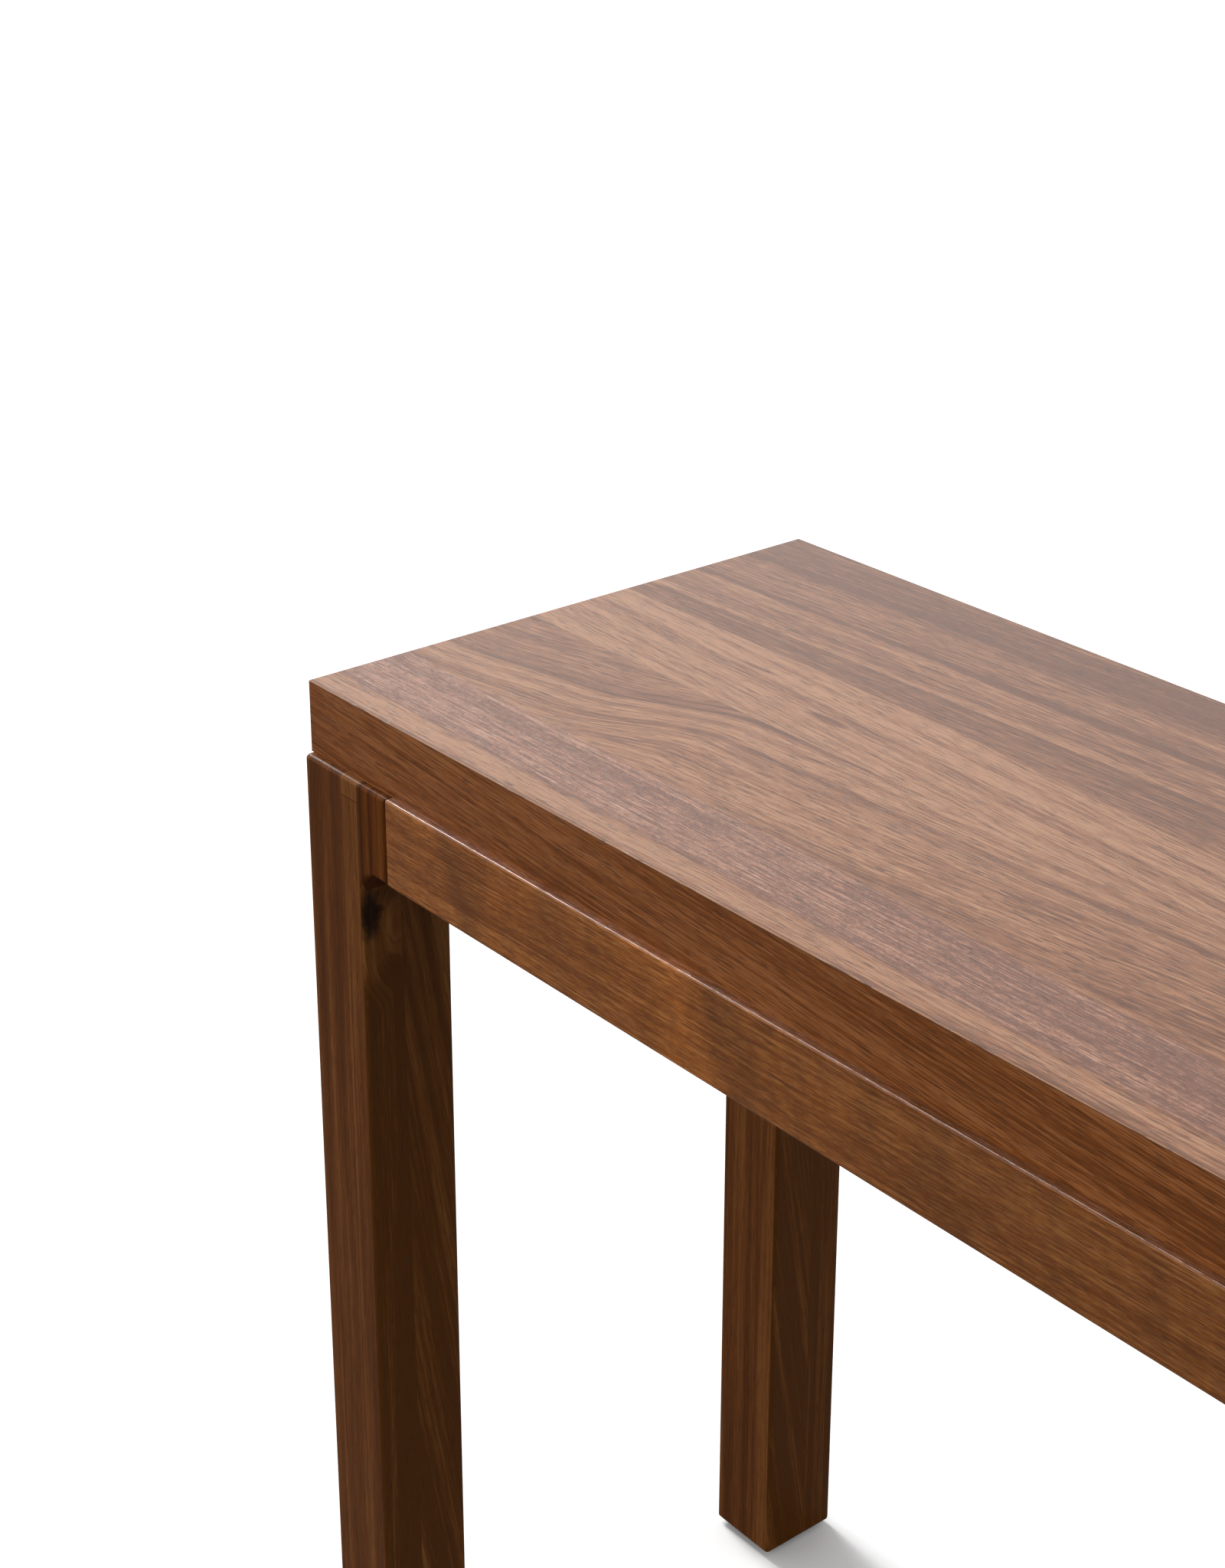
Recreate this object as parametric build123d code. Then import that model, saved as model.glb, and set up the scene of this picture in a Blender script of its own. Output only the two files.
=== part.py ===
from build123d import *
import os

# Console table: a thick veneered slab on a leg-and-apron frame, in millimetres.
# +X runs along the length, -Y is the front, +Z is up, and the origin is on the floor under the middle.

# Overall sizes
TABLE_HEIGHT = 762.0
SLAB_LENGTH = 1220.0
SLAB_DEPTH = 381.0
SLAB_THICKNESS = 44.4

# The frame stands a little proud of the slab along both long sides, which leaves a ledge there
LONG_SIDE_LEDGE = 5.2

# Slab layers
VENEER_THICKNESS = 1.0
EDGE_BAND_THICKNESS = 3.0
SLAB_EDGE_BREAK = 0.4

# Legs: a rectangular post, with a shoulder block glued to its head beside the apron
LEG_WIDTH = 55.0
LEG_DEPTH = 62.0
SHOULDER_WIDTH = 26.0
SHOULDER_COVE_RADIUS = 14.0
LEG_EDGE_RADIUS = 3.0

# Aprons on the long sides and rails on the ends
RAIL_HEIGHT = 54.0
RAIL_THICKNESS = 25.0
RAIL_EDGE_RADIUS = 1.5
RAIL_END_RADIUS = 1.2

# Battens across the frame, stub-tenoned into the aprons
BATTEN_WIDTH = 45.0
BATTEN_THICKNESS = 22.0
BATTEN_SPACING = 330.0
TENON_LENGTH = 10.0
TENON_WIDTH = 35.0
TENON_THICKNESS = 12.0

# Cleats that hold the slab to the end rails
CLEAT_LENGTH = 120.0
CLEAT_SIDE = 24.0

# Steel corner brackets, bent from plate
BRACKET_PLATE = 2.5
BRACKET_HEIGHT = 40.0
BRACKET_FLANGE = 28.0
BRACKET_STAND_OFF = 6.0
BRACKET_HOLE_RADIUS = 2.3
BRACKET_BOLT_HOLE_RADIUS = 4.5
BRACKET_SCREW_SPREAD = 22.0
BRACKET_SCREW_FROM_BEND = 16.8

# Hanger bolts, from each leg's inner corner through the bracket
BOLT_RADIUS = 4.0
BOLT_IN_LEG = 32.0
BOLT_OUTSIDE = 22.0
CORNER_FLAT_DEPTH = 9.0
WASHER_RADIUS = 9.0
WASHER_THICKNESS = 1.6
NUT_ACROSS_FLATS = 13.0
NUT_HEIGHT = 6.5

# Wood screws. Radius is the shank's, and length is under the head
SCREW_HEAD_HEIGHT = 2.4
SCREW_HEAD_EDGE_RADIUS = 1.4
SCREW_HEAD_RATIO = 2.0
SCREW_RECESS_RADIUS = 1.2
SCREW_RECESS_DEPTH = 1.4
SMALL_SCREW_RADIUS = 2.0
SMALL_SCREW_LENGTH = 16.0
CLEAT_SCREW_LENGTH = 38.0
LARGE_SCREW_RADIUS = 2.5
LARGE_SCREW_LENGTH = 46.0
SCREW_CLEARANCE = 0.25
BATTEN_SCREW_OFFSET = 95.0
CLEAT_RAIL_SCREW_OFFSET = 45.0
CLEAT_TOP_SCREW_OFFSET = 22.0

# Dowels between shoulder block and post
DOWEL_RADIUS = 4.0
DOWEL_LENGTH = 36.0
DOWEL_IN_LEG = 20.0
DOWEL_SPREAD = 28.0

# Nylon glides, each nailed to a leg
GLIDE_HEIGHT = 4.0
GLIDE_RADIUS = 15.0
GLIDE_EDGE_RADIUS = 1.5
GLIDE_WELL_RADIUS = 4.0
GLIDE_WELL_DEPTH = 2.5
NAIL_RADIUS = 1.25
NAIL_LENGTH = 20.0
NAIL_HEAD_RADIUS = 3.0
NAIL_HEAD_HEIGHT = 1.0

# How near a point lies to a plane that it counts as on
TOLERANCE = 0.01

# Places worked out from the sizes
LEFT = -SLAB_LENGTH / 2
FRONT = -(SLAB_DEPTH / 2 + LONG_SIDE_LEDGE)
FRAME_TOP = TABLE_HEIGHT - SLAB_THICKNESS
RAIL_BOTTOM = FRAME_TOP - RAIL_HEIGHT
RAIL_MIDDLE = FRAME_TOP - RAIL_HEIGHT / 2
LEG_INNER_X = LEFT + LEG_WIDTH
LEG_INNER_Y = FRONT + LEG_DEPTH
APRON_INNER_Y = FRONT + RAIL_THICKNESS
RAIL_INNER_X = LEFT + RAIL_THICKNESS
APRON_END_X = LEG_INNER_X + SHOULDER_WIDTH

CORNERS = [(side, end) for side in ("front", "back") for end in ("left", "right")]


def block(low, high):
    """A box between two opposite corners."""
    size = [b - a for a, b in zip(low, high)]
    return Pos(*low) * Box(*size, align=(Align.MIN, Align.MIN, Align.MIN))


def rod(start, direction, radius, length):
    """A cylinder from a start point along a direction."""
    place = Plane(origin=start, z_dir=direction)
    return place * Cylinder(radius, length, align=(Align.CENTER, Align.CENTER, Align.MIN))


def edges_at(shape, axis, x=None, y=None, z=None):
    """The straight edges along an axis whose middle has the given coordinates."""
    found = shape.edges().filter_by(axis)
    for wanted, index in ((x, 0), (y, 1), (z, 2)):
        if wanted is not None:
            found = [edge for edge in found if abs(tuple(edge.center())[index] - wanted) < TOLERANCE]
    return found


def to_corner(shape, side, end):
    """Carries a shape from the front left corner to another corner."""
    if end == "right":
        shape = mirror(shape, about=Plane.YZ)
    if side == "back":
        shape = mirror(shape, about=Plane.XZ)
    return shape


def at_all_corners(shape):
    return [to_corner(shape, side, end) for side, end in CORNERS]


def at_both_ends(shape):
    return [shape, mirror(shape, about=Plane.YZ)]


def group(shapes):
    """Separate solids kept together as one node."""
    return Compound(children=[solid for shape in shapes for solid in shape.solids()])


def wood_screw(start, direction, radius, length):
    """A pan-head screw: the head sits on the start point and the shank runs along the direction."""
    place = Plane(origin=start, z_dir=direction)
    head_radius = radius * SCREW_HEAD_RATIO
    shank = rod(start, direction, radius, length)
    head = Cylinder(head_radius, SCREW_HEAD_HEIGHT, align=(Align.CENTER, Align.CENTER, Align.MAX))
    head = fillet(head.edges().sort_by(Axis.Z)[0], SCREW_HEAD_EDGE_RADIUS)
    recess = Pos(0, 0, -SCREW_HEAD_HEIGHT) * RegularPolygon(SCREW_RECESS_RADIUS, 6)
    head -= extrude(recess, SCREW_RECESS_DEPTH)
    return shank + place * head


# Slab: core, edge bands round it, a veneer over both faces

def make_slab(slab_screw_holes):
    half_x = SLAB_LENGTH / 2
    half_y = SLAB_DEPTH / 2
    core_bottom = FRAME_TOP + VENEER_THICKNESS
    core_top = TABLE_HEIGHT - VENEER_THICKNESS
    band_x = half_x - EDGE_BAND_THICKNESS
    band_y = half_y - EDGE_BAND_THICKNESS

    core = block((-band_x, -band_y, core_bottom), (band_x, band_y, core_top))
    front_band = block((-half_x, -half_y, core_bottom), (half_x, -band_y, core_top))
    left_band = block((-half_x, -band_y, core_bottom), (-band_x, band_y, core_top))
    backing = block((-half_x, -half_y, FRAME_TOP), (half_x, half_y, core_bottom))
    veneer = block((-half_x, -half_y, core_top), (half_x, half_y, TABLE_HEIGHT))
    veneer = chamfer(veneer.faces().sort_by(Axis.Z)[-1].edges(), SLAB_EDGE_BREAK)
    return {
        "top_core": core - slab_screw_holes,
        "top_veneer": veneer,
        "backing_veneer": backing - slab_screw_holes,
        "front_edge_band": front_band,
        "back_edge_band": mirror(front_band, about=Plane.XZ),
        "left_edge_band": left_band,
        "right_edge_band": mirror(left_band, about=Plane.YZ),
    }


# Leg and shoulder block of the front left corner, shaped together and then parted at the glue seam

def is_on_outer_plane(point):
    """True on the leg's front face, its left face or its foot."""
    return min(point.Y - FRONT, point.X - LEFT, point.Z - GLIDE_HEIGHT) < TOLERANCE


def make_leg_and_shoulder(holes):
    post = block((LEFT, FRONT, GLIDE_HEIGHT), (LEG_INNER_X, LEG_INNER_Y, FRAME_TOP))
    ear = block((LEG_INNER_X, FRONT, RAIL_BOTTOM), (APRON_END_X, APRON_INNER_Y, FRAME_TOP))
    blank = post + ear

    cove_edge = edges_at(blank, Axis.Y, x=LEG_INNER_X, z=RAIL_BOTTOM)
    blank = fillet(cove_edge, SHOULDER_COVE_RADIUS)
    outside_edges = [edge for edge in blank.edges() if is_on_outer_plane(edge.center())]
    inner_corner = edges_at(blank, Axis.Z, x=LEG_INNER_X, y=LEG_INNER_Y)
    blank = fillet(outside_edges + inner_corner, LEG_EDGE_RADIUS)

    corner_flat = Pos(LEG_INNER_X, LEG_INNER_Y, 0) * Rot(0, 0, 45) * block(
        (-CORNER_FLAT_DEPTH, -LEG_WIDTH / 2, RAIL_BOTTOM), (LEG_WIDTH, LEG_WIDTH / 2, FRAME_TOP))
    blank = blank - corner_flat - holes

    seam_side = block((LEG_INNER_X, FRONT, RAIL_BOTTOM - SHOULDER_COVE_RADIUS),
                      (APRON_END_X, APRON_INNER_Y, FRAME_TOP))
    return blank - seam_side, blank & seam_side


# Front apron and left end rail: eased all round on the outside

def ease_rail(rail, outer_face_axis, end_axis):
    """Rounds the long edges and the end edges of a rail's outer face."""
    outer_face = rail.faces().sort_by(outer_face_axis)[0]
    long_edges = outer_face.edges().filter_by(end_axis)
    rail = fillet(long_edges, RAIL_EDGE_RADIUS)
    outer_face = rail.faces().sort_by(outer_face_axis)[0]
    return fillet(outer_face.edges().filter_by(Axis.Z), RAIL_END_RADIUS)


def make_apron(holes):
    apron = block((APRON_END_X, FRONT, RAIL_BOTTOM), (-APRON_END_X, APRON_INNER_Y, FRAME_TOP))
    return ease_rail(apron, Axis.Y, Axis.X) - holes


def make_end_rail(holes):
    rail = block((LEFT, LEG_INNER_Y, RAIL_BOTTOM), (RAIL_INNER_X, -LEG_INNER_Y, FRAME_TOP))
    return ease_rail(rail, Axis.X, Axis.Y) - holes


# Cross batten, centred on x = 0, with a stub tenon at each end

def make_batten():
    body = block((-BATTEN_WIDTH / 2, APRON_INNER_Y, FRAME_TOP - BATTEN_THICKNESS),
                 (BATTEN_WIDTH / 2, -APRON_INNER_Y, FRAME_TOP))
    tenon_middle = FRAME_TOP - BATTEN_THICKNESS / 2
    tenon_y = APRON_INNER_Y - TENON_LENGTH
    tenon_bar = block((-TENON_WIDTH / 2, tenon_y, tenon_middle - TENON_THICKNESS / 2),
                      (TENON_WIDTH / 2, -tenon_y, tenon_middle + TENON_THICKNESS / 2))
    return body + tenon_bar


# Corner bracket of the front left corner: a diagonal web between two flanges

def make_bracket(holes):
    half_plate = BRACKET_PLATE / 2
    diagonal_sum = LEG_INNER_X + LEG_INNER_Y + (BRACKET_STAND_OFF + half_plate) * 2 ** 0.5
    flange_y = APRON_INNER_Y + half_plate
    flange_x = RAIL_INNER_X + half_plate
    apron_bend = diagonal_sum - flange_y
    rail_bend = diagonal_sum - flange_x
    path = Polyline((apron_bend + BRACKET_FLANGE, flange_y), (apron_bend, flange_y),
                    (flange_x, rail_bend), (flange_x, rail_bend + BRACKET_FLANGE))
    plan = Pos(0, 0, RAIL_MIDDLE - BRACKET_HEIGHT / 2) * trace(path, BRACKET_PLATE)
    bracket = extrude(plan, BRACKET_HEIGHT, dir=(0, 0, 1))
    return bracket - holes, apron_bend, rail_bend


def make_nut(start, direction):
    """A hex nut with its back on the start point."""
    hexagon = RegularPolygon(NUT_ACROSS_FLATS / 2, 6, major_radius=False) - Circle(BOLT_RADIUS)
    return Plane(origin=start, z_dir=direction) * extrude(hexagon, NUT_HEIGHT)


def make_glide_and_nail():
    x = LEFT + LEG_WIDTH / 2
    y = FRONT + LEG_DEPTH / 2
    glide = rod((x, y, 0), (0, 0, 1), GLIDE_RADIUS, GLIDE_HEIGHT)
    glide = fillet(glide.edges().sort_by(Axis.Z)[0], GLIDE_EDGE_RADIUS)
    well = rod((x, y, 0), (0, 0, 1), GLIDE_WELL_RADIUS, GLIDE_WELL_DEPTH)
    shank = rod((x, y, GLIDE_WELL_DEPTH), (0, 0, 1), NAIL_RADIUS, NAIL_LENGTH)
    head = rod((x, y, GLIDE_WELL_DEPTH), (0, 0, -1), NAIL_HEAD_RADIUS, NAIL_HEAD_HEIGHT)
    return glide - well - shank, shank + head


def main():
    parts = {}
    inward = Vector(1, 1, 0).normalized()
    leg_corner = Vector(LEG_INNER_X, LEG_INNER_Y, RAIL_MIDDLE)

    # Hanger bolt, washer and nut of the front left corner
    flat_centre = leg_corner - inward * CORNER_FLAT_DEPTH
    bolt_start = flat_centre - inward * BOLT_IN_LEG
    web_face = leg_corner + inward * (BRACKET_STAND_OFF + BRACKET_PLATE)
    bolt_end = web_face + inward * BOLT_OUTSIDE
    bolt = rod(bolt_start, inward, BOLT_RADIUS, (bolt_end - bolt_start).length)
    washer = rod(web_face, inward, WASHER_RADIUS, WASHER_THICKNESS) - bolt
    nut = make_nut(web_face + inward * WASHER_THICKNESS, inward)
    bolt_hole = rod(leg_corner, inward, BRACKET_BOLT_HOLE_RADIUS, LEG_WIDTH)

    # Dowels across the seam between post and shoulder
    dowel_x = LEG_INNER_X - DOWEL_IN_LEG
    dowel_y = FRONT + RAIL_THICKNESS / 2
    dowels = [rod((dowel_x, dowel_y, RAIL_MIDDLE + rise), (1, 0, 0), DOWEL_RADIUS, DOWEL_LENGTH)
              for rise in (-DOWEL_SPREAD / 2, DOWEL_SPREAD / 2)]

    # Bracket and the small screws through its flanges
    plain_bracket, apron_bend, rail_bend = make_bracket(bolt_hole)
    bracket_screws = []
    bracket_holes = []
    for rise in (-BRACKET_SCREW_SPREAD / 2, BRACKET_SCREW_SPREAD / 2):
        z = RAIL_MIDDLE + rise
        apron_point = (apron_bend + BRACKET_SCREW_FROM_BEND, APRON_INNER_Y + BRACKET_PLATE, z)
        rail_point = (RAIL_INNER_X + BRACKET_PLATE, rail_bend + BRACKET_SCREW_FROM_BEND, z)
        for point, direction in ((apron_point, (0, -1, 0)), (rail_point, (-1, 0, 0))):
            bracket_screws.append(wood_screw(point, direction, SMALL_SCREW_RADIUS, SMALL_SCREW_LENGTH))
            bracket_holes.append(rod(point, direction, BRACKET_HOLE_RADIUS, BRACKET_PLATE))
    bracket = plain_bracket - bracket_holes
    all_bracket_screws = [screw for each in bracket_screws for screw in at_all_corners(each)]

    # Battens and the screws that run up through them into the slab
    batten = make_batten()
    battens = {name: Pos(step * BATTEN_SPACING, 0, 0) * batten
               for name, step in (("left", -1), ("centre", 0), ("right", 1))}
    batten_screws = []
    batten_holes = []
    for step in (-1, 0, 1):
        for offset in (-BATTEN_SCREW_OFFSET, BATTEN_SCREW_OFFSET):
            start = (step * BATTEN_SPACING, offset, FRAME_TOP - BATTEN_THICKNESS)
            batten_screws.append(wood_screw(start, (0, 0, 1), LARGE_SCREW_RADIUS, LARGE_SCREW_LENGTH))
            batten_holes.append(rod(start, (0, 0, 1), LARGE_SCREW_RADIUS + SCREW_CLEARANCE, BATTEN_THICKNESS))

    # Cleat of the left end, with screws into the rail and up into the slab
    cleat = block((RAIL_INNER_X, -CLEAT_LENGTH / 2, FRAME_TOP - CLEAT_SIDE),
                  (RAIL_INNER_X + CLEAT_SIDE, CLEAT_LENGTH / 2, FRAME_TOP))
    cleat_rail_screws = []
    cleat_top_screws = []
    for sign in (-1, 1):
        rail_start = (RAIL_INNER_X + CLEAT_SIDE, sign * CLEAT_RAIL_SCREW_OFFSET, FRAME_TOP - CLEAT_SIDE / 2)
        top_start = (RAIL_INNER_X + CLEAT_SIDE / 2, sign * CLEAT_TOP_SCREW_OFFSET, FRAME_TOP - CLEAT_SIDE)
        cleat_rail_screws.append(wood_screw(rail_start, (-1, 0, 0), SMALL_SCREW_RADIUS, CLEAT_SCREW_LENGTH))
        cleat_top_screws.append(wood_screw(top_start, (0, 0, 1), LARGE_SCREW_RADIUS, LARGE_SCREW_LENGTH))
    cleat = cleat - cleat_rail_screws - cleat_top_screws
    all_cleat_top_screws = [screw for each in cleat_top_screws for screw in at_both_ends(each)]

    parts.update(make_slab(batten_screws + all_cleat_top_screws))

    glide, nail = make_glide_and_nail()
    leg, shoulder = make_leg_and_shoulder([bolt, nail] + dowels)
    for side, end in CORNERS:
        parts[f"leg_{side}_{end}"] = to_corner(leg, side, end)
        parts[f"shoulder_block_{side}_{end}"] = to_corner(shoulder, side, end)
        parts[f"corner_bracket_{side}_{end}"] = to_corner(bracket, side, end)

    apron = make_apron(list(battens.values()) + all_bracket_screws)
    parts["front_apron"] = apron
    parts["back_apron"] = mirror(apron, about=Plane.XZ)
    end_rail = make_end_rail(cleat_rail_screws + all_bracket_screws)
    parts["left_end_rail"] = end_rail
    parts["right_end_rail"] = mirror(end_rail, about=Plane.YZ)

    for name, shape in battens.items():
        parts[f"cross_batten_{name}"] = shape - batten_holes
    parts["left_cleat"] = cleat
    parts["right_cleat"] = mirror(cleat, about=Plane.YZ)

    parts["hanger_bolts"] = group(at_all_corners(bolt))
    parts["hanger_washers"] = group(at_all_corners(washer))
    parts["hanger_nuts"] = group(at_all_corners(nut))
    parts["bracket_screws"] = group(all_bracket_screws)
    parts["batten_screws"] = group(batten_screws)
    parts["cleat_rail_screws"] = group([screw for each in cleat_rail_screws for screw in at_both_ends(each)])
    parts["cleat_top_screws"] = group(all_cleat_top_screws)
    parts["shoulder_dowels"] = group([dowel for each in dowels for dowel in at_all_corners(each)])
    parts["foot_glides"] = group(at_all_corners(glide))
    parts["glide_nails"] = group(at_all_corners(nail))

    os.makedirs("parts", exist_ok=True)
    for name, shape in parts.items():
        export_step(shape, f"parts/{name}.step")


main()
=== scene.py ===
import math
from dataclasses import dataclass

import bpy
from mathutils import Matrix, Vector


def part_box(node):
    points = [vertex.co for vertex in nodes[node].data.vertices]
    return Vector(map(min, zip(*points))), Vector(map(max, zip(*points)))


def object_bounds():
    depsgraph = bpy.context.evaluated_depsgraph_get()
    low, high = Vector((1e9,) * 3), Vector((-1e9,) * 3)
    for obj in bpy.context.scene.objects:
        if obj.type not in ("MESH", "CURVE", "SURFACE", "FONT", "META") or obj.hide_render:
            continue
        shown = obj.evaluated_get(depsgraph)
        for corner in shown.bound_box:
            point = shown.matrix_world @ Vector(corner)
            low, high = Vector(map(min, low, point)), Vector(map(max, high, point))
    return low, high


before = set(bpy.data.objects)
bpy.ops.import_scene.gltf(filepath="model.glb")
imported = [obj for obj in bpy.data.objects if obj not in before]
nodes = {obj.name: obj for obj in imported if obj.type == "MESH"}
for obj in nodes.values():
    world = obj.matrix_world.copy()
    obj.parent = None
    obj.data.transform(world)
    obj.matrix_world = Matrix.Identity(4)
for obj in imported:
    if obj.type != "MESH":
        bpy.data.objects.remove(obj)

cad_low, cad_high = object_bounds()

# ---------------------------------------------------------------- places, in metres, from the frame
slab_low, slab_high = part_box("top_veneer")
leg_low, leg_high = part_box("leg_front_left")
SIDES = ("front", "back")
ENDS = ("left", "right")


# ---------------------------------------------------------------- a small helper to write node trees

COAT_ROUGHNESS = 0.2


class Graph:
    """A material's node tree. Arguments may be sockets, numbers or colours."""

    def __init__(self, name):
        self.material = bpy.data.materials.new(name)
        self.material.use_nodes = True
        self.tree = self.material.node_tree
        self.shader = self.tree.nodes["Principled BSDF"]
        self.position = self.tree.nodes.new("ShaderNodeTexCoord").outputs["Object"]
        split = self.tree.nodes.new("ShaderNodeSeparateXYZ")
        self.tree.links.new(self.position, split.inputs[0])
        self.x, self.y, self.z = split.outputs

    def feed(self, socket, value):
        if isinstance(value, bpy.types.NodeSocket):
            self.tree.links.new(value, socket)
        elif socket.type == "RGBA" and len(value) == 3:
            socket.default_value = (*value, 1.0)
        else:
            socket.default_value = value

    def math(self, operation, a, b=0.0, c=0.0):
        node = self.tree.nodes.new("ShaderNodeMath")
        node.operation = operation
        for socket, value in zip(node.inputs, (a, b, c)):
            self.feed(socket, value)
        return node.outputs[0]

    def add(self, a, b):
        return self.math("ADD", a, b)

    def minus(self, a, b):
        return self.math("SUBTRACT", a, b)

    def times(self, a, b):
        return self.math("MULTIPLY", a, b)

    def swing(self, value, gain):
        """Turns a value about one half into one about zero."""
        return self.times(self.add(value, -0.5), gain)

    def vector(self, x, y, z):
        node = self.tree.nodes.new("ShaderNodeCombineXYZ")
        for socket, value in zip(node.inputs, (x, y, z)):
            self.feed(socket, value)
        return node.outputs[0]

    def noise(self, where, detail, roughness=0.5, distortion=0.0, scale=1.0):
        """Noise from 0 to 1. where times scale is its place."""
        node = self.tree.nodes.new("ShaderNodeTexNoise")
        self.feed(node.inputs["Vector"], where)
        node.inputs["Scale"].default_value = scale
        node.inputs["Detail"].default_value = detail
        node.inputs["Roughness"].default_value = roughness
        node.inputs["Distortion"].default_value = distortion
        return node.outputs["Fac"]

    def ramp(self, value, stops, interpolation="LINEAR"):
        """stops are (position, colour or grey level)."""
        node = self.tree.nodes.new("ShaderNodeValToRGB")
        node.color_ramp.interpolation = interpolation
        points = node.color_ramp.elements
        while len(points) < len(stops):
            points.new(1.0)
        for point, (place, tone) in zip(points, stops):
            point.position = place
            point.color = (tone, tone, tone, 1.0) if isinstance(tone, float) else (*tone, 1.0)
        self.feed(node.inputs[0], value)
        return node.outputs[0]

    def smooth(self, value, start, end, low=0.0, high=1.0):
        """Eases from low to high while value goes from start to end."""
        node = self.tree.nodes.new("ShaderNodeMapRange")
        node.interpolation_type = "SMOOTHSTEP"
        for socket, number in zip(node.inputs, (value, start, end, low, high)):
            self.feed(socket, number)
        return node.outputs[0]

    def mix(self, amount, a, b, blend="MIX"):
        node = self.tree.nodes.new("ShaderNodeMix")
        node.data_type = "RGBA"
        node.blend_type = blend
        # The node keeps sockets for each data type: these are the factor, the two colours and their result
        self.feed(node.inputs[0], amount)
        self.feed(node.inputs[6], a)
        self.feed(node.inputs[7], b)
        return node.outputs[2]

    def bump(self, height, distance, strength):
        node = self.tree.nodes.new("ShaderNodeBump")
        node.inputs["Strength"].default_value = strength
        node.inputs["Distance"].default_value = distance
        self.feed(node.inputs["Height"], height)
        self.tree.links.new(node.outputs[0], self.shader.inputs["Normal"])

    def near(self, a, a_middle, a_half, b, b_middle, b_half, softness):
        """1 in the middle of an oval and 0 outside it, from its middle and half sizes along a and b."""
        a_part = self.math("POWER", self.math("DIVIDE", self.add(a, -a_middle), a_half), 2.0)
        b_part = self.math("POWER", self.math("DIVIDE", self.add(b, -b_middle), b_half), 2.0)
        return self.smooth(self.add(a_part, b_part), 1.0, 1.0 - softness)

    def finish(self, colour, roughness, specular=0.5, coat=0.0, metallic=0.0):
        self.feed(self.shader.inputs["Base Color"], colour)
        self.feed(self.shader.inputs["Roughness"], roughness)
        self.shader.inputs["Specular IOR Level"].default_value = specular
        self.shader.inputs["Coat Weight"].default_value = coat
        self.shader.inputs["Coat Roughness"].default_value = COAT_ROUGHNESS
        self.shader.inputs["Metallic"].default_value = metallic
        return self.material


def paint(material, *names):
    """Gives CAD nodes a material of this script's own."""
    for name in names:
        node = nodes[name]
        node.data.materials.clear()
        node.data.materials.append(material)


# ---------------------------------------------------------------- wood

# Each seed's grain lies this much further along the noise
SEED_STEP = 7.31
# The grain wanders: how often along and across it, per metre, and how far, in metres
WANDER_ALONG = 2.2
WANDER_ACROSS = 9.0
WANDER_REACH = 0.012
MM_PER_METRE = 1000.0
# Lengths along the grain and widths across it, in millimetres, that all kinds of wood share
STREAK_LENGTH = 700.0
LINE_LENGTH = 220.0
FLECK_WIDTH = 1.1
PORE_LENGTH = 14.0
PORE_WIDTH = 0.7
# A pore opens while its noise climbs from the first level to the second
PORE_LEVELS = (0.56, 0.66)
# A pore's colour beside the wood's dark tone
PORE_SHADE = 0.45
# Where between 0 and 1 the dark, middle and light tones lie
TONE_PLACES = (0.15, 0.50, 0.85)
# Curly figure: how often along and across the grain, per metre, and the levels of noise it gleams between
CURL_ALONG = 40.0
CURL_ACROSS = 12.0
CURL_LEVELS = (0.3, 0.7)
# Relief: its depth in metres, and how lines raise it and pores sink it
GRAIN_RELIEF = 0.00012
LINE_RELIEF = 0.35
PORE_RELIEF = -0.9
# Lines vary the gloss by this much
LINE_ROUGHNESS = 0.1


@dataclass
class Wood:
    """One kind of sawn wood. Sizes are in millimetres."""
    # Dark, middle and light colour
    tones: tuple
    # Widths of the broad streaks and the fine lines, and length of the flecks
    streak_mm: float = 16.0
    line_mm: float = 2.6
    fleck_mm: float = 24.0
    # How strongly each shows
    streaks: float = 1.7
    lines: float = 2.0
    flecks: float = 1.4
    pores: float = 0.5
    curl: float = 0.0
    # Gloss
    roughness: float = 0.34
    specular: float = 0.3
    coat: float = 0.0


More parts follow.
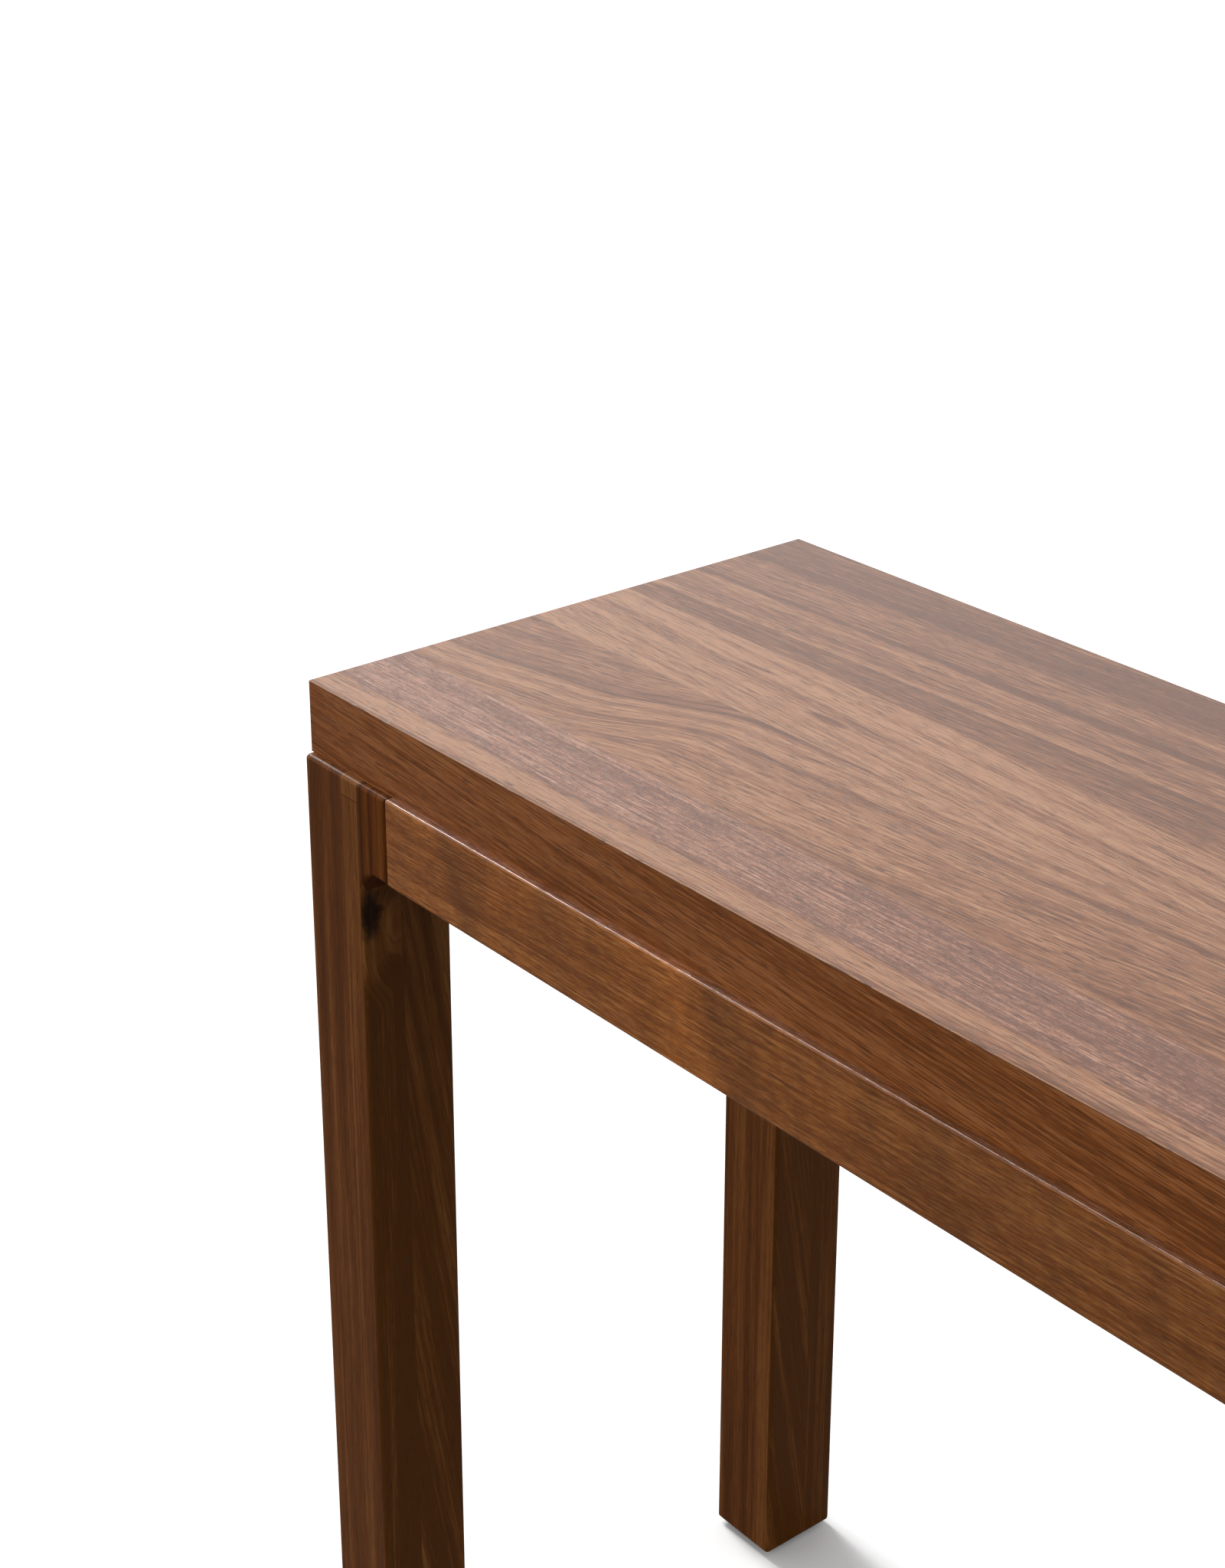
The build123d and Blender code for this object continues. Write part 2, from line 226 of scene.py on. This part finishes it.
def finish_wood(g, wood, along, across, deep, seed, shade=0.0, gleam=1.0, tint=None):
    """Lays the grain along one coordinate.

    shade lightens or darkens the tone, about 0. gleam brightens the figure, about 1.
    tint is (how much of it, colour) to multiply by."""
    shift = seed * SEED_STEP

    def grain(along_scale, across_scale, detail, roughness):
        place = g.vector(g.add(g.times(along, along_scale), shift), g.times(across, across_scale),
                         g.times(deep, across_scale))
        return g.noise(place, detail, roughness)

    def stretched(length_mm, width_mm, detail, roughness=0.55):
        return grain(MM_PER_METRE / length_mm, MM_PER_METRE / width_mm, detail, roughness)

    wander = g.swing(grain(WANDER_ALONG, WANDER_ACROSS, detail=2.0, roughness=0.5), WANDER_REACH)
    across = g.add(across, wander)
    deep = g.add(deep, wander)

    streaks = stretched(STREAK_LENGTH, wood.streak_mm, detail=3.0)
    lines = stretched(LINE_LENGTH, wood.line_mm, detail=4.0, roughness=0.66)
    flecks = stretched(wood.fleck_mm, FLECK_WIDTH, detail=3.0, roughness=0.74)
    pores = g.smooth(stretched(PORE_LENGTH, PORE_WIDTH, detail=1.0, roughness=0.6), *PORE_LEVELS)

    tone = g.add(g.swing(streaks, wood.streaks), g.swing(lines, wood.lines))
    tone = g.add(g.add(tone, g.swing(flecks, wood.flecks)), g.add(0.5, shade))
    colour = g.ramp(tone, list(zip(TONE_PLACES, wood.tones)))
    if tint:
        amount, tint_colour = tint
        colour = g.mix(amount, colour, g.mix(1.0, colour, tint_colour, "MULTIPLY"))
    if wood.curl:
        place = g.vector(g.times(along, CURL_ALONG), g.times(across, CURL_ACROSS), g.times(deep, CURL_ACROSS))
        figure = g.noise(place, detail=3.0, roughness=0.6, distortion=0.6)
        gleam = g.times(gleam, g.smooth(figure, *CURL_LEVELS, 1.0 - wood.curl, 1.0 + wood.curl))
        colour = g.mix(1.0, colour, g.vector(gleam, gleam, gleam), "MULTIPLY")
    pore_colour = tuple(PORE_SHADE * value for value in wood.tones[0])
    colour = g.mix(g.times(pores, wood.pores), colour, pore_colour)
    relief = g.add(g.times(lines, LINE_RELIEF), g.times(pores, PORE_RELIEF))
    g.bump(relief, GRAIN_RELIEF, strength=0.5)
    roughness = g.add(g.swing(lines, LINE_ROUGHNESS), wood.roughness)
    return g.finish(colour, roughness, wood.specular, wood.coat)


def plain_wood(name, axis, wood, seed, slope=0.0):
    """Wood with its grain level along the table's x or y axis, or falling by slope as it goes."""
    g = Graph(name)
    along, across, deep = {"x": (g.x, g.z, g.y), "y": (g.y, g.z, g.x)}[axis]
    return finish_wood(g, wood, along, g.add(across, g.times(along, slope)), deep, seed)


FACE = Wood(
    tones=((0.150, 0.063, 0.034), (0.275, 0.122, 0.062), (0.400, 0.208, 0.116)),
    streak_mm=13.0, line_mm=1.6, streaks=0.5, lines=1.4, flecks=2.0, pores=0.60,
    roughness=0.32, specular=0.4, coat=0.2)
EDGE = Wood(
    tones=((0.150, 0.040, 0.004), (0.238, 0.072, 0.014), (0.335, 0.120, 0.036)),
    streak_mm=14.0, line_mm=1.6, streaks=1.1, lines=2.2, flecks=2.2, pores=0.65)
RAIL = Wood(
    tones=((0.182, 0.050, 0.004), (0.280, 0.087, 0.014), (0.400, 0.152, 0.036)),
    streak_mm=16.0, line_mm=1.8, streaks=1.0, lines=1.7, flecks=1.9, pores=0.5, fleck_mm=12.0, curl=0.12,
    roughness=0.20, specular=0.5, coat=0.15)
LEG = Wood(
    tones=((0.088, 0.025, 0.003), (0.143, 0.043, 0.007), (0.204, 0.073, 0.016)),
    streak_mm=12.0, line_mm=2.2, streaks=2.0, lines=1.4, flecks=1.0, pores=0.35, specular=0.15)
SHOULDER = Wood(
    tones=((0.064, 0.016, 0.002), (0.116, 0.031, 0.004), (0.172, 0.053, 0.008)),
    streak_mm=12.0, line_mm=2.4, streaks=1.2, lines=1.2, flecks=0.8, pores=0.3, specular=0.07)
BACKING = Wood(EDGE.tones, streak_mm=18.0, roughness=0.6)
POPLAR = Wood(((0.36, 0.22, 0.12), (0.48, 0.32, 0.18), (0.58, 0.42, 0.26)), streak_mm=18.0, roughness=0.7)
BEECH = Wood(((0.42, 0.26, 0.14), (0.55, 0.37, 0.22), (0.64, 0.46, 0.29)), streak_mm=6.0, line_mm=1.2,
             roughness=0.7)

# ---------------------------------------------------------------- the tabletop's veneer


@dataclass
class Leaf:
    """A leaf of face veneer. Places are in metres from the slab's front edge."""
    # Its back edge
    far: float
    # How fast its grain moves back as it runs right
    slope: float
    # (place at the left end, tone about one half)
    stripes: list
    # Stretches where the grain climbs more: (start and end from the left end, climb)
    rises: tuple = ()


FRONT_LEAF = Leaf(0.070, 0.0, [
    (0.000, 0.50), (0.004, 0.66), (0.014, 0.74), (0.018, 0.62), (0.021, 0.42), (0.040, 0.46), (0.054, 0.38),
    (0.070, 0.46)])
SWEPT_LEAF = Leaf(0.162, 0.04, [
    (0.000, 0.50), (0.012, 0.60), (0.020, 0.46), (0.034, 0.60), (0.046, 0.46), (0.054, 0.60), (0.066, 0.58),
    (0.070, 0.34), (0.074, 0.60), (0.080, 0.74), (0.085, 0.50), (0.091, 0.74), (0.096, 0.66), (0.099, 0.22),
    (0.103, 0.46), (0.118, 0.42), (0.126, 0.48), (0.134, 0.36), (0.142, 0.46), (0.162, 0.42)],
    rises=((0.00, 0.12, 0.0155), (0.105, 0.215, 0.036)))
MIDDLE_LEAF = Leaf(0.236, -0.05, [
    (0.162, 0.68), (0.171, 0.74), (0.178, 0.62), (0.184, 0.70), (0.191, 0.54), (0.198, 0.72), (0.206, 0.60),
    (0.213, 0.50), (0.216, 0.70), (0.226, 0.74), (0.231, 0.56), (0.236, 0.70), (0.246, 0.58), (0.260, 0.46)])
BACK_LEAF = Leaf(0.381, 0.03, [
    (0.200, 0.43), (0.234, 0.35), (0.244, 0.23), (0.249, 0.39), (0.254, 0.19), (0.257, 0.63), (0.266, 0.39),
    (0.284, 0.51), (0.288, 0.57), (0.291, 0.33), (0.295, 0.07), (0.299, 0.37), (0.316, 0.45), (0.335, 0.33),
    (0.340, 0.03), (0.345, 0.25), (0.366, 0.25), (0.374, 0.37), (0.381, 0.21)])
LEAVES = (FRONT_LEAF, SWEPT_LEAF, MIDDLE_LEAF, BACK_LEAF)
# How strongly the stripes show
STRIPE_GAIN = 1.35
# Each leaf's grain lies this much deeper in the noise, so that no two match
LEAF_STEP = 3.7
# A rise fades towards the leaf's front edge: (from, to, share left at the front edge)
RISE_FADE = (0.066, 0.130, 0.70)
# Painted shade: the veneer is painted darker to the right, where the light falls off: (from, to, change of
# tone)
RIGHT_PAINTED_SHADE = (0.25, 0.75, -0.17)
# Small dark eyes: (from the left end, from the front edge, half length, half width, how dark)
EYES = [(0.147, 0.2125, 0.018, 0.0026, 0.45), (0.229, 0.191, 0.021, 0.0044, 0.55),
        (0.007, 0.1585, 0.005, 0.0018, 1.20)]
# The front leaf's mottle: how often along and across the grain, per metre, and how strongly it shows
MOTTLE_ALONG = 220.0
MOTTLE_ACROSS = 420.0
MOTTLE_GAIN = 1.1
# Where from the front edge it starts, (from none, to full), and where it ends, (to none, from full)
MOTTLE_START = (0.017, 0.024)
MOTTLE_END = (0.071, 0.066)
MOTTLE_TINT = (1.17, 1.28, 1.60)
# The broken arris is painted lighter as a painted highlight, and the veneer's cut edge under it is dark.
# Each is (where it starts under the top, change of tone), and the second adds to the first.
ARRIS_PAINTED_HIGHLIGHT = (0.0001, 0.5)
VENEER_EDGE = (0.0005, -1.1)
# The edge band shows as a thin dark line: (from the front edge, half width), and its change of tone
BAND_LINE = (0.0015, 0.0004)
BAND_LINE_TONE = -0.45


def leaf_grain(g, from_left, from_front):
    """The veneer's grain across and into it, and the tone of its stripes."""
    depth = slab_high.y - slab_low.y
    fade_start, fade_end, fade_share = RISE_FADE
    fade = g.smooth(from_front, fade_start, fade_end, fade_share, 1.0)
    across = from_front
    deep = 0.0
    tone = 0.0
    for number, leaf in enumerate(LEAVES):
        here = g.math("LESS_THAN", from_front, leaf.far)
        if number:
            here = g.times(here, g.math("GREATER_THAN", from_front, LEAVES[number - 1].far))
        climb = g.times(from_left, leaf.slope)
        for start, end, rise in leaf.rises:
            climb = g.add(climb, g.times(fade, g.smooth(from_left, start, end, 0.0, rise)))
        level = g.math("DIVIDE", g.minus(from_front, climb), depth)
        stripe = g.ramp(level, [(place / depth, stripe_tone) for place, stripe_tone in leaf.stripes])
        tone = g.add(tone, g.times(here, g.swing(stripe, STRIPE_GAIN)))
        across = g.minus(across, g.times(here, climb))
        deep = g.add(deep, g.times(here, LEAF_STEP * number))
    return across, deep, tone


def tabletop_veneer():
    g = Graph("walnut_veneer_face")
    from_front = g.add(g.y, -slab_low.y)
    from_left = g.add(g.x, -slab_low.x)
    across, deep, shade = leaf_grain(g, from_left, from_front)

    # Painted shade, darker towards the right
    dark_start, dark_end, darkening = RIGHT_PAINTED_SHADE
    shade = g.add(shade, g.smooth(from_left, dark_start, dark_end, 0.0, darkening))
    for x, y, half_length, half_width, darkness in EYES:
        eye = g.near(from_left, x, half_length, from_front, y, half_width, softness=0.9)
        shade = g.minus(shade, g.times(eye, darkness))
    mottle = g.noise(g.vector(g.times(g.x, MOTTLE_ALONG), g.times(g.y, MOTTLE_ACROSS), 0.0),
                     detail=3.0, roughness=0.65, distortion=1.0)
    in_mottle = g.times(g.smooth(from_front, *MOTTLE_START), g.smooth(from_front, *MOTTLE_END))
    shade = g.add(shade, g.times(g.swing(mottle, MOTTLE_GAIN), in_mottle))
    # The first lightens the broken arris as a painted highlight; the second darkens the veneer's cut edge
    for under_top, tone in (ARRIS_PAINTED_HIGHLIGHT, VENEER_EDGE):
        shade = g.add(shade, g.times(g.math("LESS_THAN", g.z, slab_high.z - under_top), tone))
    shade = g.add(shade, g.times(g.math("COMPARE", from_front, *BAND_LINE), BAND_LINE_TONE))
    return finish_wood(g, FACE, g.x, across, deep, seed=3.0, shade=shade, tint=(in_mottle, MOTTLE_TINT))


# ---------------------------------------------------------------- the front apron

# Its figure: (metres from the apron's left end, gleam)
APRON_GLEAM = [(0.000, 1.04), (0.040, 1.12), (0.057, 0.82), (0.078, 1.08), (0.180, 0.98), (0.250, 1.34),
               (0.275, 0.78), (0.310, 0.98), (0.420, 0.82)]
# The figure leans: this far along for each metre up
APRON_LEAN = 0.4
# The gleam goes through its ramp at this scale, which keeps it under one
GLEAM_SCALE = 0.5
# Painted shade and a painted greyish reflection on the apron's top ledge: how deep its tint goes, in metres
LEDGE_DEPTH = 0.0003
LEDGE_SHADE_AND_REFLECTION_TINT = (0.72, 0.85, 2.20)


def front_apron_walnut():
    g = Graph("walnut_front_apron")
    low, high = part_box("front_apron")
    place = g.add(g.add(g.x, -low.x), g.times(g.add(g.z, -high.z), APRON_LEAN))
    reach = APRON_GLEAM[-1][0]
    stops = [(at / reach, GLEAM_SCALE * gleam) for at, gleam in APRON_GLEAM]
    gleam = g.math("DIVIDE", g.ramp(g.math("DIVIDE", place, reach), stops, "EASE"), GLEAM_SCALE)
    # The top ledge's tint is painted shade and a painted greyish reflection
    on_ledge = g.math("GREATER_THAN", g.z, high.z - LEDGE_DEPTH)
    return finish_wood(g, RAIL, g.x, g.z, g.y, seed=4.0, gleam=gleam, tint=(on_ledge, LEDGE_SHADE_AND_REFLECTION_TINT))


# ---------------------------------------------------------------- legs and shoulder blocks

# Each post is glued up from four staves. The glue lines lie this far from the faces that look off the table:
# the width from its end face, and the depth from its long face, front or back.
STAVE_WIDTH = 0.037
STAVE_DEPTH = 0.027
# Half a glue line's width, and its change of tone
GLUE_LINE = 0.0004
GLUE_TONE = -0.25
# Tone of each stave, about 0: the outer and the inner one at that long face, then the two behind them
STAVE_TONES = {
    "leg_front_left": (-0.04, 0.04, -0.10, 0.36), "leg_front_right": (0.06, -0.12, 0.02, 0.14),
    "leg_back_left": (0.14, -0.02, -0.16, 0.14), "leg_back_right": (-0.08, 0.12, 0.16, -0.04)}
# Each stave's grain lies this much further along
STAVE_STEP = 1.9
# Painted shade: the faces that look inwards along the table, under the tabletop, are painted darker: (depth,
# change of tone)
INNER_PAINTED_SHADE = (0.002, -0.42)
# The painted shade's cooler tint on those inward faces
INNER_SHADE_TINT = (0.94, 1.07, 1.20)
# How steeply their grain runs off in the staves behind
INNER_SLOPE = 0.16
# A finger joint lengthens the front left leg's inner front stave, this far under the leg's top.
# The wood above it and the joint itself change the tone.
FINGER_JOINT = 0.0125
ABOVE_JOINT_TONE = 0.22
JOINT_TONE = -0.9
# A knot in that leg's inner face: place behind the front face and under the top, and its half sizes
KNOT_BEHIND = 0.0050
KNOT_UNDER = 0.084
KNOT_HALF_WIDTH = 0.0095
KNOT_HALF_HEIGHT = 0.0220
KNOT_TINT = (0.10, 0.10, 0.14)
# That face is darker still in the knot's stave
KNOT_STAVE_TONE = -0.13
# The knot's ragged outline: how often it wanders, per metre, and how far, in metres
RAGGED_SCALE = 130.0
RAGGED_REACH = 0.014
# The grain swirls round the knot: size beside the knot's, how far lower, and how far the grain is pushed
SWIRL_SIZE = 2.6
SWIRL_LOWER = 0.012
SWIRL_PUSH = 0.012
# A pale ring lies round it: size beside the knot's, how far further back and lower, and change of tone
RING_SIZE = 1.7
RING_BACK = 0.002
RING_LOWER = 0.014
RING_TONE = 0.40
# The shoulder blocks' stripes: (metres from the glue seam, tone), and how strongly they show
SHOULDER_STRIPES = [
    (0.000, -0.85), (0.0013, -0.45), (0.003, -0.15), (0.0055, 0.05), (0.008, 0.10), (0.0105, -0.42),
    (0.014, 0.14), (0.017, -0.25), (0.020, 0.16), (0.023, -0.30), (0.026, -0.45)]
SHOULDER_GAIN = 1.5


def inward_from(g, leg):
    """Distances from a leg's outer end face and from its outer long face."""
    low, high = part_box(leg)
    from_outside = g.add(g.x, -low.x) if "left" in leg else g.minus(high.x, g.x)
    from_face = g.add(g.y, -low.y) if "front" in leg else g.minus(high.y, g.y)
    return from_outside, from_face


def knot_oval(g, from_face, under_top, size=1.0, back=0.0, lower=0.0, softness=1.0):
    """1 in the middle of the knot's oval and 0 outside it, made larger and moved back and down."""
    return g.near(from_face, KNOT_BEHIND + back, size * KNOT_HALF_WIDTH,
                  under_top, KNOT_UNDER + lower, size * KNOT_HALF_HEIGHT, softness)


def jointed_stave(g, from_face, inner, on_inside):
    """The finger joint and knot: change of tone, push of the grain and the inner face's tint, which is
    painted shade with the knot's dark colour in it.
    """
    under_top = g.minus(leg_high.z, g.z)
    in_stave = g.times(inner, g.math("LESS_THAN", from_face, STAVE_DEPTH))
    above = g.times(in_stave, g.math("LESS_THAN", under_top, FINGER_JOINT))
    joint = g.times(in_stave, g.math("COMPARE", under_top, FINGER_JOINT, GLUE_LINE))
    ragged = g.swing(g.noise(g.position, detail=3.0, roughness=0.6, scale=RAGGED_SCALE), RAGGED_REACH)
    knot = knot_oval(g, g.add(from_face, ragged), g.minus(under_top, ragged))
    swirl = knot_oval(g, from_face, under_top, SWIRL_SIZE, lower=SWIRL_LOWER)
    ring = knot_oval(g, from_face, under_top, RING_SIZE, RING_BACK, RING_LOWER, softness=0.8)
    tone = g.add(g.times(above, ABOVE_JOINT_TONE), g.times(joint, JOINT_TONE))
    tone = g.add(tone, g.times(g.times(ring, on_inside), RING_TONE))
    tone = g.add(tone, g.times(g.times(in_stave, on_inside), KNOT_STAVE_TONE))
    push = g.times(g.times(swirl, on_inside), SWIRL_PUSH)
    return tone, push, g.mix(knot, INNER_SHADE_TINT, KNOT_TINT)


def leg_walnut(leg, seed):
    g = Graph("walnut_" + leg)
    low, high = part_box(leg)
    from_outside, from_face = inward_from(g, leg)
    inner = g.math("GREATER_THAN", from_outside, STAVE_WIDTH)
    behind = g.math("GREATER_THAN", from_face, STAVE_DEPTH)
    stave = g.add(inner, g.times(behind, 2.0))
    stave_count = len(STAVE_TONES[leg])
    stops = [(number / stave_count, 0.5 + tone) for number, tone in enumerate(STAVE_TONES[leg])]
    shade = g.add(g.ramp(g.math("DIVIDE", stave, stave_count), stops, "CONSTANT"), -0.5)
    for distance, line in ((from_outside, STAVE_WIDTH), (from_face, STAVE_DEPTH)):
        shade = g.add(shade, g.times(g.math("COMPARE", distance, line, GLUE_LINE), GLUE_TONE))
    # Painted shade: the inward faces are painted darker and given a cooler tint
    skin, painted_shade_tone = INNER_PAINTED_SHADE
    on_inside = g.math("GREATER_THAN", from_outside, high.x - low.x - skin)
    shade = g.add(shade, g.times(on_inside, painted_shade_tone))
    deep = g.add(g.y, g.times(g.times(g.times(on_inside, behind), g.z), INNER_SLOPE))
    tint = INNER_SHADE_TINT
    if leg == "leg_front_left":
        tone, push, tint = jointed_stave(g, from_face, inner, on_inside)
        shade = g.add(shade, tone)
        deep = g.add(deep, push)
    along = g.add(g.z, g.times(stave, STAVE_STEP))
    return finish_wood(g, LEG, along, g.x, deep, seed, shade=shade, tint=(on_inside, tint))


def shoulder_walnut(side, end, seed):
    g = Graph(f"walnut_shoulder_{side}_{end}")
    from_outside, from_face = inward_from(g, f"leg_{side}_{end}")
    width = SHOULDER_STRIPES[-1][0]
    from_seam = g.add(from_outside, leg_low.x - leg_high.x)
    stops = [(place / width, 0.5 + 0.5 * tone) for place, tone in SHOULDER_STRIPES]
    stripes = g.ramp(g.math("DIVIDE", from_seam, width), stops)
    shade = g.swing(stripes, SHOULDER_GAIN)
    return finish_wood(g, SHOULDER, g.z, from_outside, from_face, seed, shade=shade)


paint(tabletop_veneer(), "top_veneer")
paint(plain_wood("walnut_edge_long", "x", EDGE, seed=1.0, slope=0.08), "front_edge_band", "back_edge_band")
paint(plain_wood("walnut_edge_short", "y", EDGE, seed=2.0, slope=0.05), "left_edge_band", "right_edge_band")
paint(front_apron_walnut(), "front_apron")
paint(plain_wood("walnut_back_apron", "x", RAIL, seed=4.5), "back_apron")
paint(plain_wood("walnut_end_rail", "y", RAIL, seed=5.0), "left_end_rail", "right_end_rail")
paint(plain_wood("walnut_backing", "x", BACKING, seed=6.0), "backing_veneer")
# Every leg and shoulder block has a seed of its own
seed = 10.0
for side in SIDES:
    for end in ENDS:
        paint(leg_walnut(f"leg_{side}_{end}", seed), f"leg_{side}_{end}")
        paint(shoulder_walnut(side, end, seed + 0.5), f"shoulder_block_{side}_{end}")
        seed += 1.0

# ---------------------------------------------------------------- plain wood, board, steel and nylon

# How fine each noise is, per metre, and the depth of its relief in metres
FLAKE_SCALE = 260.0
FLAKE_RELIEF = 0.0002
CLOUD_SCALE = 90.0
BRUSH_ACROSS = 1400.0
BRUSH_ALONG = 60.0
BRUSH_RELIEF = 0.00005
NYLON_SCALE = 900.0
NYLON_RELIEF = 0.00008
# The two levels of noise between which a colour changes
LOW_LEVEL = 0.3
HIGH_LEVEL = 0.7
# How much duller the plating is in its light clouds
CLOUD_ROUGHNESS = 0.15

paint(plain_wood("batten_poplar", "y", POPLAR, seed=20.0),
      "cross_batten_left", "cross_batten_centre", "cross_batten_right", "left_cleat", "right_cleat")
paint(plain_wood("dowel_beech", "x", BEECH, seed=21.0), "shoulder_dowels")


def two_tone(g, level, dark, light):
    """Goes from dark to light between the two levels."""
    return g.ramp(level, [(LOW_LEVEL, dark), (HIGH_LEVEL, light)])


def chipboard():
    g = Graph("core_board")
    flakes = g.noise(g.position, detail=6.0, roughness=0.7, distortion=0.4, scale=FLAKE_SCALE)
    g.bump(flakes, FLAKE_RELIEF, strength=0.6)
    return g.finish(two_tone(g, flakes, (0.28, 0.19, 0.11), (0.55, 0.42, 0.27)), roughness=0.85)


def plated_steel(name, dark, light, roughness):
    g = Graph(name)
    cloud = g.noise(g.position, detail=4.0, roughness=0.6, distortion=0.3, scale=CLOUD_SCALE)
    place = g.vector(g.times(g.x, BRUSH_ACROSS), g.times(g.y, BRUSH_ACROSS), g.times(g.z, BRUSH_ALONG))
    brush = g.noise(place, detail=2.0)
    g.bump(brush, BRUSH_RELIEF, strength=0.4)
    return g.finish(two_tone(g, cloud, dark, light), g.add(roughness, g.times(cloud, CLOUD_ROUGHNESS)),
                    metallic=1.0)


def black_nylon():
    g = Graph("glide_nylon")
    grain = g.noise(g.position, detail=3.0, roughness=0.6, scale=NYLON_SCALE)
    g.bump(grain, NYLON_RELIEF, strength=0.5)
    return g.finish(two_tone(g, grain, (0.02, 0.018, 0.016), (0.035, 0.032, 0.03)), roughness=0.5)


paint(chipboard(), "top_core")
zinc = plated_steel("zinc_plate", dark=(0.50, 0.50, 0.49), light=(0.68, 0.68, 0.66), roughness=0.28)
paint(zinc, "hanger_bolts", "hanger_washers", "hanger_nuts",
      *[f"corner_bracket_{side}_{end}" for side in SIDES for end in ENDS])
paint(plated_steel("yellow_zinc", dark=(0.52, 0.42, 0.24), light=(0.70, 0.60, 0.36), roughness=0.3),
      "bracket_screws", "batten_screws", "cleat_rail_screws", "cleat_top_screws", "glide_nails")
paint(black_nylon(), "foot_glides")

# ---------------------------------------------------------------- floor, light and camera

# How far the floor reaches each way, in metres
FLOOR_REACH = 40.0
# The floor's grey level as the camera sees it, and as it lights the table
FLOOR_SEEN = 0.97
FLOOR_BOUNCE = 0.12
# Brightness of the studio low down and overhead, and where it changes: 0 is the horizon and 1 overhead
SKY_LOW = 1.20
SKY_HIGH = 0.50
SKY_CHANGE = (0.30, 0.58)
# Lamps: (where the light comes from, strength, how wide it looks in degrees)
LAMPS = {
    "key_light": (Vector((-0.78, 0.02, 0.60)), 1.7, 16.0),
    "edge_light": (Vector((-0.60, 0.05, 0.80)), 1.15, 22.0),
    "front_light": (Vector((0.05, -0.95, 0.20)), 0.4, 60.0)}


def grey_mix(tree, node_type, bounced, seen, out_type):
    """Fills a tree with one grey for what the camera sees and another for all else, which it returns."""
    tree.nodes.clear()
    mix = tree.nodes.new("ShaderNodeMixShader")
    path = tree.nodes.new("ShaderNodeLightPath")
    tree.links.new(path.outputs["Is Camera Ray"], mix.inputs[0])
    shaders = []
    for level, socket in ((bounced, mix.inputs[1]), (seen, mix.inputs[2])):
        shader = tree.nodes.new(node_type)
        shader.inputs["Color"].default_value = (level, level, level, 1.0)
        tree.links.new(shader.outputs[0], socket)
        shaders.append(shader)
    tree.links.new(mix.outputs[0], tree.nodes.new(out_type).inputs["Surface"])
    return shaders[0]


def make_floor():
    bpy.ops.mesh.primitive_plane_add(size=2 * FLOOR_REACH, location=(0, 0, cad_low.z))
    floor = bpy.context.object
    floor.name = "floor"
    material = bpy.data.materials.new("pale_floor")
    material.use_nodes = True
    grey_mix(material.node_tree, "ShaderNodeBsdfDiffuse", FLOOR_BOUNCE, FLOOR_SEEN,
             "ShaderNodeOutputMaterial")
    floor.data.materials.append(material)


def make_world():
    """A pale studio, dimmer overhead, and pure white where the camera sees it."""
    world = bpy.data.worlds.new("studio")
    bpy.context.scene.world = world
    world.use_nodes = True
    tree = world.node_tree
    sky = grey_mix(tree, "ShaderNodeBackground", 1.0, 1.0, "ShaderNodeOutputWorld")
    height = tree.nodes.new("ShaderNodeSeparateXYZ")
    tree.links.new(tree.nodes.new("ShaderNodeTexCoord").outputs["Generated"], height.inputs[0])
    glow = tree.nodes.new("ShaderNodeMapRange")
    glow.interpolation_type = "SMOOTHSTEP"
    for socket, number in zip(list(glow.inputs)[1:5], (*SKY_CHANGE, SKY_LOW, SKY_HIGH)):
        socket.default_value = number
    tree.links.new(height.outputs["Z"], glow.inputs[0])
    tree.links.new(glow.outputs[0], sky.inputs["Strength"])


def make_lamp(name, direction, strength, width):
    data = bpy.data.lights.new(name, "SUN")
    data.energy = strength
    data.angle = math.radians(width)
    lamp = bpy.data.objects.new(name, data)
    bpy.context.scene.collection.objects.link(lamp)
    lamp.rotation_euler = direction.to_track_quat("Z", "Y").to_euler()


make_floor()
make_world()
for name, lamp in LAMPS.items():
    make_lamp(name, *lamp)

# The camera stands in front of the slab's front left corner, to its right and above it,
# and looks back to the left. Its lens and sensor are in millimetres.
CAMERA_FROM_CORNER = Vector((1.2370, -0.7790, 0.6068))
CAMERA_HEADING = math.radians(50.96)
CAMERA_DIP = math.radians(21.26)
CAMERA_LENS = 62.99
SENSOR_WIDTH = 36.0
CAMERA_SHIFT = -0.11


def make_camera():
    data = bpy.data.cameras.new("camera")
    data.sensor_width = SENSOR_WIDTH
    data.lens = CAMERA_LENS
    data.shift_y = CAMERA_SHIFT
    camera = bpy.data.objects.new("camera", data)
    bpy.context.scene.collection.objects.link(camera)
    corner = Vector((slab_low.x, slab_low.y, slab_high.z))
    camera.location = corner + CAMERA_FROM_CORNER
    camera.rotation_euler = (math.pi / 2 - CAMERA_DIP, 0.0, CAMERA_HEADING)
    bpy.context.scene.camera = camera


make_camera()
bpy.context.scene.view_settings.view_transform = "Standard"
